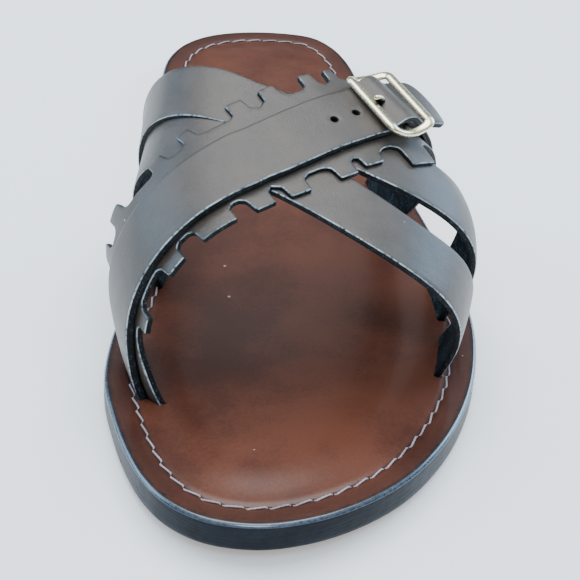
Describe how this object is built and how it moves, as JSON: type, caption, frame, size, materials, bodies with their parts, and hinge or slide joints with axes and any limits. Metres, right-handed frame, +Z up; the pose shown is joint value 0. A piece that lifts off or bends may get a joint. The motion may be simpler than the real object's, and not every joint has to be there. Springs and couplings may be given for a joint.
{
  "type": "slide sandal",
  "caption": "Flat leather slide sandal for the left foot, open at toe and heel, with crossed straps, a strap with notched edges and a buckled strap over the instep.",
  "frame": {"origin": "on the floor, under the middle of the sole's length and width", "axes": "+X towards the outer side of the foot, +Y towards the heel, +Z up; the toe points along -Y"},
  "size_m": [0.1084, 0.278, 0.0781],
  "materials": {
    "outsole": "dyed, edge polished",
    "insole": "waxed and polished",
    "upper": "smooth, satin",
    "buckled_strap": "smooth, satin",
    "buckle_strap": "smooth, satin",
    "buckle_frame": "polished",
    "buckle_prong": "polished"
  },
  "bodies": {
    "root": {"outsole": "outsole", "insole": "insole", "upper": "upper", "buckled_strap": "buckled_strap", "buckle_strap": "buckle_strap", "buckle_frame": "buckle_frame", "buckle_prong": "buckle_prong"}
  },
  "joints": []
}
